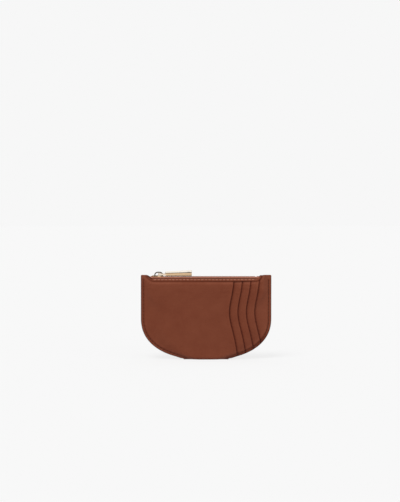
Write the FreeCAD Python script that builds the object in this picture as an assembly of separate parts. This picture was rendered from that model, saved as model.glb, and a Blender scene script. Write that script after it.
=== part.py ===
"""D-shaped leather pouch with a zip across its mouth and four side-loading card slots.

Frame: +Z up, +X to the right, the front faces -Y. The origin is the middle of the base,
on the surface that the pouch stands on. Millimetres.
"""

import FreeCAD, Part
import math
import os

V = FreeCAD.Vector

# Outline, seen from the front
HALF_WIDTH = 65.0
BODY_TOP = 84.2          # top of the corner tabs
MOUTH_TOP = 80.7         # straight edge of the scooped mouth
BASE_HALF = 22.0         # flat, folded stretch of the bottom
CURVE_TOP = 41.5         # the sides are straight above this
CURVE_DEPTH = 42.05      # the lower curve is a superellipse of this depth
CURVE_POWER = 2.316
CURVE_START = 2.7        # where the straight run from the base meets the curve
BASE_LIFT = 0.2          # an outline moved inwards rises by this share at its base
SCOOP_LEFT = [(-58.8, BODY_TOP), (-55.4, 82.0), (-52.4, MOUTH_TOP)]
SCOOP_RIGHT = [(49.8, MOUTH_TOP), (52.4, 82.1), (54.2, BODY_TOP)]

# Bulge: half the gap between the walls
SEAM = 3.0               # closed margin along the side seams
GAP_BASE = 3.3
GAP_BODY = 2.7
GAP_MOUTH = 3.0
RISE_BASE = 14.0         # distance over which the walls part, from the seam
RISE_BODY = 20.0
RISE_MOUTH = 5.5
BASE_BLEND = 14.0        # the base's shape fades out by this height
MOUTH_BLEND = (48.0, 68.0)   # and the mouth's shape comes in between these

# Layers of the walls: distance of the inner face from the bulge surface, and thickness
LINING = (0.20, 0.18)
BACKING = (0.42, 0.60)
SLOT = {4: (1.06, 0.38), 3: (1.48, 0.38), 2: (1.90, 0.38)}
SLOT_LINING_THICK = 0.20
SHELL_FRONT = (2.32, 0.80)
SHELL_BACK = (0.42, 0.90)
FLOOR = 0.90
LAYER_GAP = 0.04

# Wavy edges of the card slots, left to right
WAVE = [(27.7, 82.0), (25.9, 67.0), (22.9, 47.0), (26.6, 27.0), (30.2, 9.0), (31.4, -2.0)]
WAVE_PITCH = 8.4
FACING_HIDDEN = 9.0      # a facing runs this far under the edge before it

# Binding and lining
BINDING_HEIGHT = 2.6
BINDING_THICK = 0.5
BINDING_STEP = 1.66      # how far the binding sinks as it passes the slot edges
BINDING_RAMP = (28.0, 54.0)
BINDING_SPREAD = 0.35    # how its lower edge moves out and down beside the scoops
BINDING_FALL = 0.9
LINING_TOP = 71.0
LINING_INSET = 1.0

# Stitches
STITCH_PITCH = 3.6
STITCH_LENGTH = 2.7
STITCH_RADIUS = 0.22
SEAM_STITCH_INSET = 2.75
SEAM_STITCH_TOP = 79.5
BINDING_STITCH_RISE = 1.6
STITCH_CLEAR = 0.1       # the stitches lie this far off the leather
EDGE_CLEAR = 2.0         # a stitch this near a slot edge lies on the layer before it

# Zip
CHAIN_Z = 82.1
TOOTH_HEIGHT = 1.6
TOOTH_LENGTH = 1.25
TOOTH_PITCH = 2.0
TOOTH_HEAD = 0.45        # the slider's post runs between the two rows
TOOTH_HEEL = 1.8
CHAIN_LEFT = -52.6
CHAIN_RIGHT = 50.0
TAPE_THICK = 0.35
TAPE_INNER = 1.0
TAPE_WALL = 3.03         # inner face of the hanging part of the tape
TAPE_BOTTOM = 71.6
TAPE_LEFT = -55.6
TAPE_RIGHT = 54.0
TAPE_BEND = 0.75
TOOTH_ROUND = 0.2
STOP_LENGTH = 1.25
STOP_CLEAR = 0.15
STOP_HEAD = 0.3
STOP_EXTRA = 0.2         # the stops are this much taller than the teeth
END_STOP_GAP = 0.6
END_STOP_LENGTH = 2.0

# Slider
SLIDER_LEFT = -54.0
SLIDER_LENGTH = 11.5
SLIDER_HALF = 2.75
SLIDER_TAIL_HALF = 2.5
CHANNEL_HALF = 2.0
CHANNEL_CLEAR = 0.15
NOSE = [(0.9, 1.65), (2.2, SLIDER_HALF)]   # (distance from the nose, half width)
SHOULDER = 0.45          # the plates narrow from this share of their length
TAIL_CHAMFER = (0.6, 0.5)
PLATE = 0.75
POST_HALF = 0.25
POST_LEFT = 1.4          # from the nose
POST_LENGTH = 6.0
CROWN_LEFT = -51.7
CROWN_LENGTH = 9.0
CROWN_TOP = 87.4
CROWN_THICK = 1.0
CROWN_HALF = 1.0
CROWN_RADIUS = 2.2

# Pull
PIVOT_X = CROWN_LEFT + CROWN_LENGTH / 2
PIVOT_Z = 85.1
PIN_RADIUS = 0.45
PIN_HALF = 2.3
FORK_INNER = 1.35
FORK_OUTER = 2.15
FORK_HALF_HEIGHT = 0.8
FORK_REACH = 5.3         # clear length from the pin to the end of the fork
NECK_OVERLAP = 1.0       # how far the fork's neck runs into the bar
BAR_LEFT = -40.7
BAR_RIGHT = -14.3
# half section of the bar at each end: (half width, height)
BAR_SECTION_LEFT = [(1.5, 83.1), (1.9, 83.4), (1.9, 86.15), (0.9, 87.5)]
BAR_SECTION_RIGHT = [(2.1, 83.1), (2.45, 83.4), (2.45, 86.95), (1.1, 88.8)]

FAR = 40.0               # larger than any half thickness
ABOVE = 95.0             # heights clear of the pouch
BELOW = -10.0
BESIDE = 80.0            # clear of the pouch at either side
ZIP_Y = 0.9              # the front wall is the thicker, so the zip stands behind the middle


def smooth(t):
    """0 to 1 with no slope at either end."""
    t = min(1.0, max(0.0, t))
    return t * t * (3 - 2 * t)


def curve_half_width(z):
    """Half width of the outline at height z, on its curved and straight sides."""
    if z >= CURVE_TOP:
        return HALF_WIDTH
    v = min(1.0, (CURVE_TOP - z) / CURVE_DEPTH)
    return HALF_WIDTH * (1 - v ** CURVE_POWER) ** (1 / CURVE_POWER)


def half_width(z):
    """Half width of the whole outline, with the straight run next to the base."""
    if z >= CURVE_START:
        return curve_half_width(z)
    return BASE_HALF + (curve_half_width(CURVE_START) - BASE_HALF) * max(0.0, z) / CURVE_START


def half_gap(x, z):
    """Half the distance between the front and back walls."""
    base = 1 - smooth(z / BASE_BLEND)
    mouth = smooth((z - MOUTH_BLEND[0]) / (MOUTH_BLEND[1] - MOUTH_BLEND[0]))
    gap = GAP_BODY + (GAP_BASE - GAP_BODY) * base + (GAP_MOUTH - GAP_BODY) * mouth
    rise = RISE_BODY + (RISE_BASE - RISE_BODY) * base + (RISE_MOUTH - RISE_BODY) * mouth
    return gap * smooth((half_width(z) - SEAM - abs(x)) / rise)


def steps(low, high, count):
    """count + 1 even values from low to high."""
    return [low + (high - low) * i / count for i in range(count + 1)]


def wall_face(side, offset):
    """Face that follows the bulge, offset outwards. side is -1 for the front, 1 for the back."""
    xs = steps(-68.0, 68.0, 80)
    zs = steps(-2.0, 6.0, 8) + steps(6.0, 88.0, 34)[1:]
    if callable(offset):
        grid = [[V(x, side * (half_gap(x, z) + offset(x)), z) for z in zs] for x in xs]
    else:
        grid = [[V(x, side * (half_gap(x, z) + offset), z) for z in zs] for x in xs]
    surface = Part.BSplineSurface()
    surface.interpolate(grid)
    return surface.toShape()


def slab(side, offset, thick):
    """Curved slab of the wall, before it is trimmed."""
    return wall_face(side, offset).extrude(V(0, side * thick, 0))


def prism(edges):
    """Solid over a closed outline in the XZ plane, long enough to cut any wall."""
    face = Part.Face(Part.Wire(edges))
    face.translate(V(0, -FAR, 0))
    return face.extrude(V(0, 2 * FAR, 0))


def at(point):
    return V(point[0], 0, point[1])


def line(a, b):
    return Part.LineSegment(at(a), at(b)).toShape()


def spline(points):
    curve = Part.BSplineCurve()
    curve.interpolate([at(p) for p in points])
    return curve.toShape()


def side_curve(sign, inset):
    """Points up one side, from the end of the base, moved inwards by inset."""
    heights = steps(CURVE_START, CURVE_TOP, 9)
    points = []
    for z in heights:
        slope = (half_width(z + 0.05) - half_width(z - 0.05)) / 0.1
        length = math.hypot(1.0, slope)
        points.append((sign * (half_width(z) - inset / length), z + inset * slope / length))
    return points


def outline(inset, top):
    """Edges of the D outline. top is a list of edges from the right side to the left."""
    right = side_curve(1, inset)
    left = side_curve(-1, inset)[::-1]
    start = top[0].Vertexes[0].Point
    end = top[-1].Vertexes[-1].Point
    base_right = (BASE_HALF - inset, inset * BASE_LIFT)
    base_left = (-BASE_HALF + inset, inset * BASE_LIFT)
    return [
        line(base_left, base_right),
        line(base_right, right[0]),
        spline(right),
        line(right[-1], (start.x, start.z)),
        *top,
        line((end.x, end.z), left[0]),
        spline(left),
        line(left[-1], base_left),
    ]


def arc(points):
    return Part.Arc(at(points[0]), at(points[1]), at(points[2])).toShape()


def mouth_edges(half):
    """Top of the leather panels: a tab at each side and a scooped mouth between them."""
    right, left = SCOOP_RIGHT[::-1], SCOOP_LEFT[::-1]
    return [
        line((half, BODY_TOP), right[0]),
        arc(right),
        line(right[-1], left[0]),
        arc(left),
        line(left[-1], (-half, BODY_TOP)),
    ]


def panel_prism():
    return prism(outline(0.0, mouth_edges(HALF_WIDTH)))


def block(x0, x1, y0, y1, z0, z1):
    return Part.makeBox(x1 - x0, y1 - y0, z1 - z0, V(x0, y0, z0))


def wave_points(index):
    """Wavy edge of slot 1 to 4, from the top down."""
    shift = (index - 1) * WAVE_PITCH
    return [(x + shift, z) for x, z in WAVE]


def left_of_wave(index, start):
    """Prism from x = start to a wavy edge."""
    points = wave_points(index)
    top, bottom = points[0], points[-1]
    edges = [
        line((start, BELOW), (bottom[0], BELOW)),
        line((bottom[0], BELOW), bottom),
        spline(points[::-1]),
        line(top, (top[0], ABOVE)),
        line((top[0], ABOVE), (start, ABOVE)),
        line((start, ABOVE), (start, BELOW)),
    ]
    return prism(edges)


def wave_x(index, z):
    """Where a wavy edge stands at height z, between its points."""
    points = wave_points(index)
    for (x1, z1), (x0, z0) in zip(points[:-1], points[1:]):
        if z0 <= z <= z1:
            return x0 + (x1 - x0) * (z - z0) / (z1 - z0)
    return points[0][0]


def above_floor():
    return block(-BESIDE, BESIDE, -FAR, FAR, FLOOR + LAYER_GAP, ABOVE)


def outer_shell(panel):
    """Back, folded base and outermost front panel in one piece of leather."""
    back = slab(1, *SHELL_BACK).common(panel)
    front = slab(-1, *SHELL_FRONT).common(panel).common(left_of_wave(1, -BESIDE))
    behind_front = wall_face(-1, sum(SHELL_FRONT)).extrude(V(0, FAR, 0))
    before_back = wall_face(1, sum(SHELL_BACK)).extrude(V(0, -FAR, 0))
    strip = block(-BASE_HALF, BASE_HALF, -FAR, FAR, 0, FLOOR)
    base = strip.common(behind_front).common(before_back)
    return front.fuse(base).fuse(back).removeSplitter()


def pocket_backing(panel):
    return slab(-1, *BACKING).common(panel).common(above_floor())


def facing(panel, index):
    """Leather facing of one slot, from under the edge before it to its own edge."""
    start = min(x for x, z in wave_points(index - 1)) - FACING_HIDDEN
    piece = slab(-1, *SLOT[index]).common(panel).common(left_of_wave(index, start))
    return piece.common(above_floor())


def slot_lining(panel, index):
    """Fabric behind a facing, from its hidden edge to the left seam."""
    end = min(x for x, z in wave_points(index - 1)) - FACING_HIDDEN - LAYER_GAP
    inner = SLOT[index][0]
    piece = slab(-1, inner, SLOT_LINING_THICK).common(panel)
    return piece.common(block(-BESIDE, end, -FAR, FAR, FLOOR + LAYER_GAP, ABOVE))


def lining(side):
    """Fabric lining of the zip compartment, up to the lower edge of the tape."""
    half = HALF_WIDTH - LINING_INSET
    top = [line((half, LINING_TOP), (-half, LINING_TOP))]
    shape = prism(outline(LINING_INSET, top))
    return slab(side, *LINING).common(shape).common(above_floor())


def binding_offset(side):
    """Inner face of the binding: it lies on the shell and sinks past the slot edges."""
    if side > 0:
        return sum(SHELL_BACK) + LAYER_GAP
    start, end = BINDING_RAMP
    high = sum(SHELL_FRONT) + LAYER_GAP
    return lambda x: high - BINDING_STEP * smooth((x - start) / (end - start))


def binding_edges(drop):
    """The mouth's line from the left tab to the right, lowered by drop."""
    out, down = BINDING_SPREAD * drop, BINDING_FALL * drop
    left = [(x - out, z - down) for x, z in SCOOP_LEFT]
    right = [(x + out, z - down) for x, z in SCOOP_RIGHT]
    left[-1] = (SCOOP_LEFT[-1][0] - out, MOUTH_TOP - drop)
    right[0] = (SCOOP_RIGHT[0][0] + out, MOUTH_TOP - drop)
    return left, right


def top_binding(side):
    """Leather strip along the scooped mouth."""
    left, right = SCOOP_LEFT, SCOOP_RIGHT
    low_left, low_right = binding_edges(BINDING_HEIGHT)
    edges = [
        arc(left),
        line(left[-1], right[0]),
        arc(right),
        line(right[-1], low_right[-1]),
        arc(low_right[::-1]),
        line(low_right[0], low_left[-1]),
        arc(low_left[::-1]),
        line(low_left[0], left[0]),
    ]
    return slab(side, binding_offset(side), BINDING_THICK).common(prism(edges))


def stitch(x, z, angle, side, offset):
    """One stitch lying on the wall, turned by angle in the XZ plane."""
    ends = []
    for reach in (-STITCH_LENGTH / 2, STITCH_LENGTH / 2):
        end_x = x + reach * math.cos(angle)
        end_z = z + reach * math.sin(angle)
        lift = offset + STITCH_RADIUS + STITCH_CLEAR
        ends.append(V(end_x, side * (half_gap(end_x, end_z) + lift), end_z))
    along = ends[1] - ends[0]
    return Part.makeCylinder(STITCH_RADIUS, along.Length, ends[0], along)


def front_offset(x, z):
    """Outer face of whatever layer shows on the front at a point."""
    if x < wave_x(1, z) + EDGE_CLEAR:
        return sum(SHELL_FRONT)
    for index in (2, 3, 4):
        if x < wave_x(index, z) + EDGE_CLEAR:
            return sum(SLOT[index])
    return sum(BACKING)


def seam_path(sign):
    """Points down one side seam, a fixed distance inside the edge."""
    side = side_curve(sign, SEAM_STITCH_INSET)
    top = (sign * (HALF_WIDTH - SEAM_STITCH_INSET), SEAM_STITCH_TOP)
    return [top] + side[::-1]


def walk(points, pitch):
    """Even places along a chain of points: (x, z, angle)."""
    curve = Part.Wire([line(points[0], points[1]), spline(points[1:])])
    places = curve.discretize(Distance=pitch)
    result = []
    for a, b in zip(places[:-1], places[1:]):
        middle = (a + b) * 0.5
        result.append((middle.x, middle.z, math.atan2(b.z - a.z, b.x - a.x)))
    return result


def seam_thread(sign):
    """Stitches of one side seam, on the front and on the back."""
    stitches = []
    for x, z, angle in walk(seam_path(sign), STITCH_PITCH):
        stitches.append(stitch(x, z, angle, -1, front_offset(x, z)))
        stitches.append(stitch(x, z, angle, 1, sum(SHELL_BACK)))
    return Part.makeCompound(stitches)


def binding_thread(side):
    """Straight row of stitches near the lower edge of the binding."""
    offset = binding_offset(side)
    z = MOUTH_TOP - BINDING_HEIGHT + BINDING_STITCH_RISE
    stitches = []
    count = int((SCOOP_RIGHT[0][0] - SCOOP_LEFT[-1][0]) / STITCH_PITCH)
    for i in range(count):
        x = SCOOP_LEFT[-1][0] + (i + 0.5) * STITCH_PITCH
        inner = offset(x) if callable(offset) else offset
        stitches.append(stitch(x, z, 0.0, side, inner + BINDING_THICK))
    return Part.makeCompound(stitches)


def yz_face(x, points):
    corners = [V(x, y, z) for y, z in points]
    return Part.Face(Part.makePolygon(corners + corners[:1]))


def zip_tape(side):
    """Tape that hangs inside the wall, bends over the mouth and ends in the teeth."""
    low, high = CHAIN_Z - TAPE_THICK / 2, CHAIN_Z + TAPE_THICK / 2
    wall_in, wall_out = TAPE_WALL, TAPE_WALL + TAPE_THICK
    bend_in = TAPE_BEND - TAPE_THICK
    corner = 1 - math.sqrt(0.5)
    points = [
        (TAPE_INNER, low),
        (wall_in - bend_in, low),
        (wall_in - bend_in * corner, low - bend_in * corner),
        (wall_in, low - bend_in),
        (wall_in, TAPE_BOTTOM),
        (wall_out, TAPE_BOTTOM),
        (wall_out, high - TAPE_BEND),
        (wall_out - TAPE_BEND * corner, high - TAPE_BEND * corner),
        (wall_out - TAPE_BEND, high),
        (TAPE_INNER, high),
    ]
    face = yz_face(TAPE_LEFT, [(side * y, z) for y, z in points])
    return face.extrude(V(TAPE_RIGHT - TAPE_LEFT, 0, 0))


def tape_slot(x0, x1, side):
    """Space of the tape's inner edge, for what is clamped on it."""
    y0, y1 = sorted((side * TAPE_INNER, side * TAPE_WALL))
    return block(x0, x1, y0, y1, CHAIN_Z - TAPE_THICK / 2, CHAIN_Z + TAPE_THICK / 2)


def clamped(x0, length, side, head, heel, height):
    """A small block clamped on the tape's edge, such as a tooth or a stop."""
    y0, y1 = sorted((side * head, side * heel))
    body = block(x0, x0 + length, y0, y1, CHAIN_Z - height / 2, CHAIN_Z + height / 2)
    upright = [e for e in body.Edges if abs(e.tangentAt(e.FirstParameter).z) > 0.99]
    body = body.makeFillet(TOOTH_ROUND, upright)
    return body.cut(tape_slot(x0 - 1, x0 + length + 1, side))


def zip_teeth(side):
    """One row of teeth. The rows are half a pitch apart, so that they mesh."""
    start = CHAIN_LEFT + (TOOTH_PITCH / 2 if side > 0 else 0.0)
    count = int((CHAIN_RIGHT - start) / TOOTH_PITCH)
    teeth = []
    for i in range(count):
        x = start + i * TOOTH_PITCH
        teeth.append(clamped(x, TOOTH_LENGTH, side, TOOTH_HEAD, TOOTH_HEEL, TOOTH_HEIGHT))
    return Part.makeCompound(teeth)


def top_stop(side):
    """Stop at the closed end of the zip, beside the slider's nose."""
    x = SLIDER_LEFT - STOP_CLEAR - STOP_LENGTH
    return clamped(x, STOP_LENGTH, side, STOP_HEAD, TOOTH_HEEL, TOOTH_HEIGHT + STOP_EXTRA)


def bottom_stop():
    """Stop across both tapes at the open end of the zip."""
    x = CHAIN_RIGHT + END_STOP_GAP
    end = x + END_STOP_LENGTH
    half = (TOOTH_HEIGHT + STOP_EXTRA) / 2
    body = block(x, end, -TOOTH_HEEL, TOOTH_HEEL, CHAIN_Z - half, CHAIN_Z + half)
    for side in (-1, 1):
        body = body.cut(tape_slot(x - 1, end + 1, side))
    return body


def slider_plate(z0, z1):
    """One plate of the slider, wide at the nose and narrow at the tail."""
    right = SLIDER_LEFT + SLIDER_LENGTH
    shoulder = SLIDER_LEFT + SLIDER_LENGTH * SHOULDER
    half = [(SLIDER_LEFT + along, y) for along, y in NOSE]
    half += [
        (shoulder, SLIDER_HALF),
        (right - TAIL_CHAMFER[0], SLIDER_TAIL_HALF),
        (right, SLIDER_TAIL_HALF - TAIL_CHAMFER[1]),
    ]
    start = [(SLIDER_LEFT, 0.0)]
    outline_points = start + half + [(x, -y) for x, y in half[::-1]]
    corners = [V(x, y, z0) for x, y in outline_points]
    face = Part.Face(Part.makePolygon(corners + corners[:1]))
    return face.extrude(V(0, 0, z1 - z0))


def slider_body():
    """Two plates with folded flanges, joined by the post between the rows of teeth."""
    inner = TOOTH_HEIGHT / 2 + CHANNEL_CLEAR
    slot = TAPE_THICK / 2 + CHANNEL_CLEAR
    full = slider_plate(CHAIN_Z - inner - PLATE, CHAIN_Z + inner + PLATE)
    ends = (SLIDER_LEFT - 1, SLIDER_LEFT + SLIDER_LENGTH + 1)
    channel = block(*ends, -CHANNEL_HALF, CHANNEL_HALF, CHAIN_Z - inner, CHAIN_Z + inner)
    side_slots = block(*ends, -FAR, FAR, CHAIN_Z - slot, CHAIN_Z + slot)
    post_left = SLIDER_LEFT + POST_LEFT
    low, high = CHAIN_Z - inner, CHAIN_Z + inner
    post = block(post_left, post_left + POST_LENGTH, -POST_HALF, POST_HALF, low, high)
    return full.cut(channel).cut(side_slots).fuse(post).removeSplitter()


def plate_top():
    return CHAIN_Z + TOOTH_HEIGHT / 2 + CHANNEL_CLEAR + PLATE


def arch(x0, x1, z0, z1, radius, half):
    """Upright slab with its two upper corners rounded."""
    body = block(x0, x1, -half, half, z0, z1)
    corners = []
    for edge in body.Edges:
        middle = edge.CenterOfMass
        if abs(middle.y) < 1e-6 and abs(middle.z - z1) < 1e-6 and edge.BoundBox.XLength < 1e-6:
            corners.append(edge)
    return body.makeFillet(radius, corners)


def slider_crown():
    """Arched bridge on top of the slider, with the pull's pin inside it."""
    right = CROWN_LEFT + CROWN_LENGTH
    outer = arch(CROWN_LEFT, right, plate_top(), CROWN_TOP, CROWN_RADIUS, CROWN_HALF)
    inner = arch(
        CROWN_LEFT + CROWN_THICK,
        right - CROWN_THICK,
        plate_top() - 1.0,
        CROWN_TOP - CROWN_THICK,
        CROWN_RADIUS - CROWN_THICK,
        CROWN_HALF + 1.0,
    )
    return outer.cut(inner)


def bar_wire(x, section):
    half = [V(x, y, z) for y, z in section]
    other = [V(x, -y, z) for y, z in section[::-1]]
    return Part.makePolygon(half + other + half[:1])


def fork_arm(side):
    """One arm of the fork, round at the pin."""
    y0 = FORK_INNER if side > 0 else -FORK_OUTER
    thick = FORK_OUTER - FORK_INNER
    disc = Part.makeCylinder(FORK_HALF_HEIGHT, thick, V(PIVOT_X, y0, PIVOT_Z), V(0, 1, 0))
    low, high = PIVOT_Z - FORK_HALF_HEIGHT, PIVOT_Z + FORK_HALF_HEIGHT
    arm = block(PIVOT_X, BAR_LEFT, y0, y0 + thick, low, high)
    hole = Part.makeCylinder(PIN_RADIUS, 2 * FAR, V(PIVOT_X, -FAR, PIVOT_Z), V(0, 1, 0))
    return disc.fuse(arm).cut(hole)


def pull_bar():
    """Bar that widens to its free end, with a fork that straddles the crown."""
    wires = [bar_wire(BAR_LEFT, BAR_SECTION_LEFT), bar_wire(BAR_RIGHT, BAR_SECTION_RIGHT)]
    bar = Part.makeLoft(wires, True, True)
    low, high = PIVOT_Z - FORK_HALF_HEIGHT, PIVOT_Z + FORK_HALF_HEIGHT
    neck = block(PIVOT_X + FORK_REACH, BAR_LEFT + NECK_OVERLAP, -FORK_OUTER, FORK_OUTER, low, high)
    return bar.fuse(neck).fuse(fork_arm(1)).fuse(fork_arm(-1)).removeSplitter()


def pull_pin():
    """Pin through the fork, with the crown between the arms."""
    start = V(PIVOT_X, -PIN_HALF, PIVOT_Z)
    return Part.makeCylinder(PIN_RADIUS, 2 * PIN_HALF, start, V(0, 1, 0))


def report(name, shape):
    box = shape.BoundBox
    spans = [(box.XMin, box.XMax), (box.YMin, box.YMax), (box.ZMin, box.ZMax)]
    sizes = "  ".join(f"{low:.2f} {high:.2f}" for low, high in spans)
    print(f"{name:22s} {sizes}  solids {len(shape.Solids)}  valid {shape.isValid()}")


def build():
    panel = panel_prism()
    parts = {
        "outer_shell": outer_shell(panel),
        "pocket_backing": pocket_backing(panel),
        "lining_front": lining(-1),
        "lining_back": lining(1),
        "top_binding_front": top_binding(-1),
        "top_binding_back": top_binding(1),
        "seam_thread_left": seam_thread(-1),
        "seam_thread_right": seam_thread(1),
        "binding_thread_front": binding_thread(-1),
        "binding_thread_back": binding_thread(1),
        "zip_tape_front": zip_tape(-1),
        "zip_tape_back": zip_tape(1),
        "zip_teeth_front": zip_teeth(-1),
        "zip_teeth_back": zip_teeth(1),
        "top_stop_front": top_stop(-1),
        "top_stop_back": top_stop(1),
        "bottom_stop": bottom_stop(),
        "slider_body": slider_body(),
        "slider_crown": slider_crown(),
        "pull_bar": pull_bar(),
        "pull_pin": pull_pin(),
    }
    for index in SLOT:
        parts[f"slot_facing_{index}"] = facing(panel, index)
        parts[f"slot_lining_{index}"] = slot_lining(panel, index)
    return parts


os.makedirs("parts", exist_ok=True)
for name, shape in build().items():
    shape.translate(V(0, ZIP_Y, 0))
    report(name, shape)
    shape.exportStep(f"parts/{name}.step")
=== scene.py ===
"""Looks of a D-shaped leather zip pouch with four side-loading card slots.

Shapes are worked out in millimetres in the part's own frame (front is -Y, +Z up) and
turned into metres when a mesh is made.
"""

import math

import bmesh
import bpy
import numpy as np
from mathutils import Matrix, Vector, noise
from mathutils.geometry import delaunay_2d_cdt


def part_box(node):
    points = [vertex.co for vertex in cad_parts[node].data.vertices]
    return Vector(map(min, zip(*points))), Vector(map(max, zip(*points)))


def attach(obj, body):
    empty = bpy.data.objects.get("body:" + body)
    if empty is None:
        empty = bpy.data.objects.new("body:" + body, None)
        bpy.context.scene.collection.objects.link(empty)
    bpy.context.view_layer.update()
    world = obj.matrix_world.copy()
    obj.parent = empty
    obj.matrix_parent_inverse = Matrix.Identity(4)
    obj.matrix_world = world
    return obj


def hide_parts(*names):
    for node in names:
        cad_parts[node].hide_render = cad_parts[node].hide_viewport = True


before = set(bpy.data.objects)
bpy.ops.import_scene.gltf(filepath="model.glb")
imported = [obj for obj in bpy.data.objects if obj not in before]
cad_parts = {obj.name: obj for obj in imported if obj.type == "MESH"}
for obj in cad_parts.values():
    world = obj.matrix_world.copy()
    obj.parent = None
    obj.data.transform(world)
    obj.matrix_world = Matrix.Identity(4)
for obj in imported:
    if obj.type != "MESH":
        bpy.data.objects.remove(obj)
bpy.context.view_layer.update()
MM = 0.001


def cad_box(node):
    """Lowest and highest corner of a CAD node, in millimetres."""
    low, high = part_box(node)
    return np.array(low) / MM, np.array(high) / MM


# Walls by the sign of Y, and sides by the sign of X
WALLS = {-1: "front", 1: "back"}
SIDES = {-1: "left", 1: "right"}

# Sizes that the CAD parts give
BINDING = 2.6             # width of the binding on the straight mouth
SHELL_CORNER = cad_box("outer_shell")[1]
HALF_WIDTH = float(SHELL_CORNER[0])
BODY_TOP = float(SHELL_CORNER[2])
MOUTH_TOP = float(cad_box("top_binding_back")[0][2]) + BINDING
ZIP_Y = float(sum(cad_box("slider_body"))[1]) / 2

# Outline
BASE_HALF = 22.0          # the folded base runs this far each way
CURVE_TOP = 41.5
CURVE_DEPTH = 42.05
CURVE_POWER = 2.316
CURVE_START = 2.7         # where the straight run from the base meets the curve
TAB_RADIUS = 1.0
SCOOP_LEFT = [(-58.8, BODY_TOP), (-55.4, 82.0), (-52.4, MOUTH_TOP)]
SCOOP_RIGHT = [(49.8, MOUTH_TOP), (52.4, 82.1), (54.2, BODY_TOP)]

# Bulge: half the gap between the walls, and how far from the seam it opens
SEAM = 3.0
GAP_BASE = 3.3
GAP_BODY = 2.7
GAP_MOUTH = 3.0
RISE_BASE = 14.0
RISE_BODY = 20.0
RISE_MOUTH = 5.5
BASE_BLEND = 14.0
MOUTH_BLEND = (48.0, 68.0)

# Layers: distance of the inner face from the bulge surface, and thickness
LINING = (0.20, 0.18)
BACKING = (0.42, 0.60)
SLOT = {4: (1.06, 0.38), 3: (1.48, 0.38), 2: (1.90, 0.38)}
SHELL_FRONT = (2.32, 0.80)
SHELL_BACK = (0.42, 0.90)
FABRIC = 0.20             # thickness of a slot's cloth
STACK = 1.04              # layers outside this are squeezed together at the left
SQUEEZED = 0.6
SQUEEZE_START = -28.0
SQUEEZE_RUN = 40.0
FIRST_EDGE = 0.84         # step down at the shell's wavy edge
SLOT_EDGE = 0.42          # and at each slot edge behind it
EDGE_RUN = 1.4

# Wavy slot edges
WAVE_Z = [-2.0, 9.0, 27.0, 47.0, 67.0, 82.0]
WAVE_X = [31.4, 30.2, 26.6, 22.9, 25.9, 27.7]
WAVE_PITCH = 8.4
FACING_HIDDEN = 9.0

# Edges and seams
BEAD = 0.5                # the walls end this far inside the outline
MOUTH_DROP = 0.45         # and this far below the mouth
BINDING_END = 1.5         # width of the binding at the top of the scoops
TAB_CLOSED = 57.0         # the walls of a tab meet beyond this distance from the middle
GROOVE = 2.75             # the seam's groove runs this far inside the edge
STITCH_PITCH = 3.6
STITCH_LENGTH = 2.75
STITCH_RADIUS = 0.21
STITCH_SINK = 0.12        # stitches and beads start this far inside the outer face
BINDING_STITCH = 1.0      # below the mouth
SEAM_STITCH_TOP = 79.5

# Zip
CHAIN_Z = 82.1
TOOTH_PITCH = 2.0
CHAIN_LEFT = -52.6
CHAIN_RIGHT = 50.0
POST_X = -46.8            # the teeth part to the left of this, round the slider's post


# ---------------------------------------------------------------- shape of the pouch

def smooth(t):
    """Eases from 0 to 1."""
    t = np.clip(t, 0.0, 1.0)
    return t * t * (3 - 2 * t)


def bump(t, width):
    """Bell curve of height 1 round zero."""
    return np.exp(-(t / width) ** 2)


def curve_half_width(z):
    """Half width of the round part."""
    v = np.clip((CURVE_TOP - z) / CURVE_DEPTH, 0.0, 1.0)
    return HALF_WIDTH * (1 - v ** CURVE_POWER) ** (1 / CURVE_POWER)


def half_width(z):
    """Half width of the outline at a height."""
    z = np.asarray(z, float)
    start = curve_half_width(CURVE_START)
    low = BASE_HALF + (start - BASE_HALF) * np.clip(z, 0, None) / CURVE_START
    return np.where(z >= CURVE_START, curve_half_width(z), low)


def half_gap(x, z):
    """Half the gap between the walls."""
    low, high = MOUTH_BLEND
    base = 1 - smooth(z / BASE_BLEND)
    mouth = smooth((z - low) / (high - low))
    gap = GAP_BODY + (GAP_BASE - GAP_BODY) * base + (GAP_MOUTH - GAP_BODY) * mouth
    rise = RISE_BODY + (RISE_BASE - RISE_BODY) * base + (RISE_MOUTH - RISE_BODY) * mouth
    return gap * smooth((half_width(z) - SEAM - np.abs(x)) / rise)


def squeeze(x, offset):
    """The stack is thinner at the left, where only fabric lies behind the front panel."""
    share = SQUEEZED + (1 - SQUEEZED) * smooth((x - SQUEEZE_START) / SQUEEZE_RUN)
    return np.where(offset > STACK, STACK + (offset - STACK) * share, offset)


def cubic(knots, values, at):
    """Natural cubic spline through the values."""
    knots, values = np.array(knots), np.array(values)
    h = np.diff(knots)
    n = len(knots)
    m, r = np.eye(n), np.zeros(n)
    for i in range(1, n - 1):
        m[i, i - 1:i + 2] = h[i - 1], 2 * (h[i - 1] + h[i]), h[i]
        r[i] = 6 * ((values[i + 1] - values[i]) / h[i] - (values[i] - values[i - 1]) / h[i - 1])
    curl = np.linalg.solve(m, r)
    at = np.clip(at, knots[0], knots[-1])
    i = np.clip(np.searchsorted(knots, at) - 1, 0, n - 2)
    a, b = (knots[i + 1] - at) / h[i], (at - knots[i]) / h[i]
    bend = ((a ** 3 - a) * curl[i] + (b ** 3 - b) * curl[i + 1]) * h[i] ** 2 / 6
    return a * values[i] + b * values[i + 1] + bend


def wave_x(index, z):
    """Place of a wavy edge at a height, counted from the left."""
    return cubic(WAVE_Z, WAVE_X, z) + (index - 1) * WAVE_PITCH


def past_wave(index, x, z):
    """Signed distance to the right of a wavy edge."""
    slope = wave_x(index, z + 0.5) - wave_x(index, z - 0.5)
    return (x - wave_x(index, z)) / np.sqrt(1 + slope ** 2)


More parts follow.
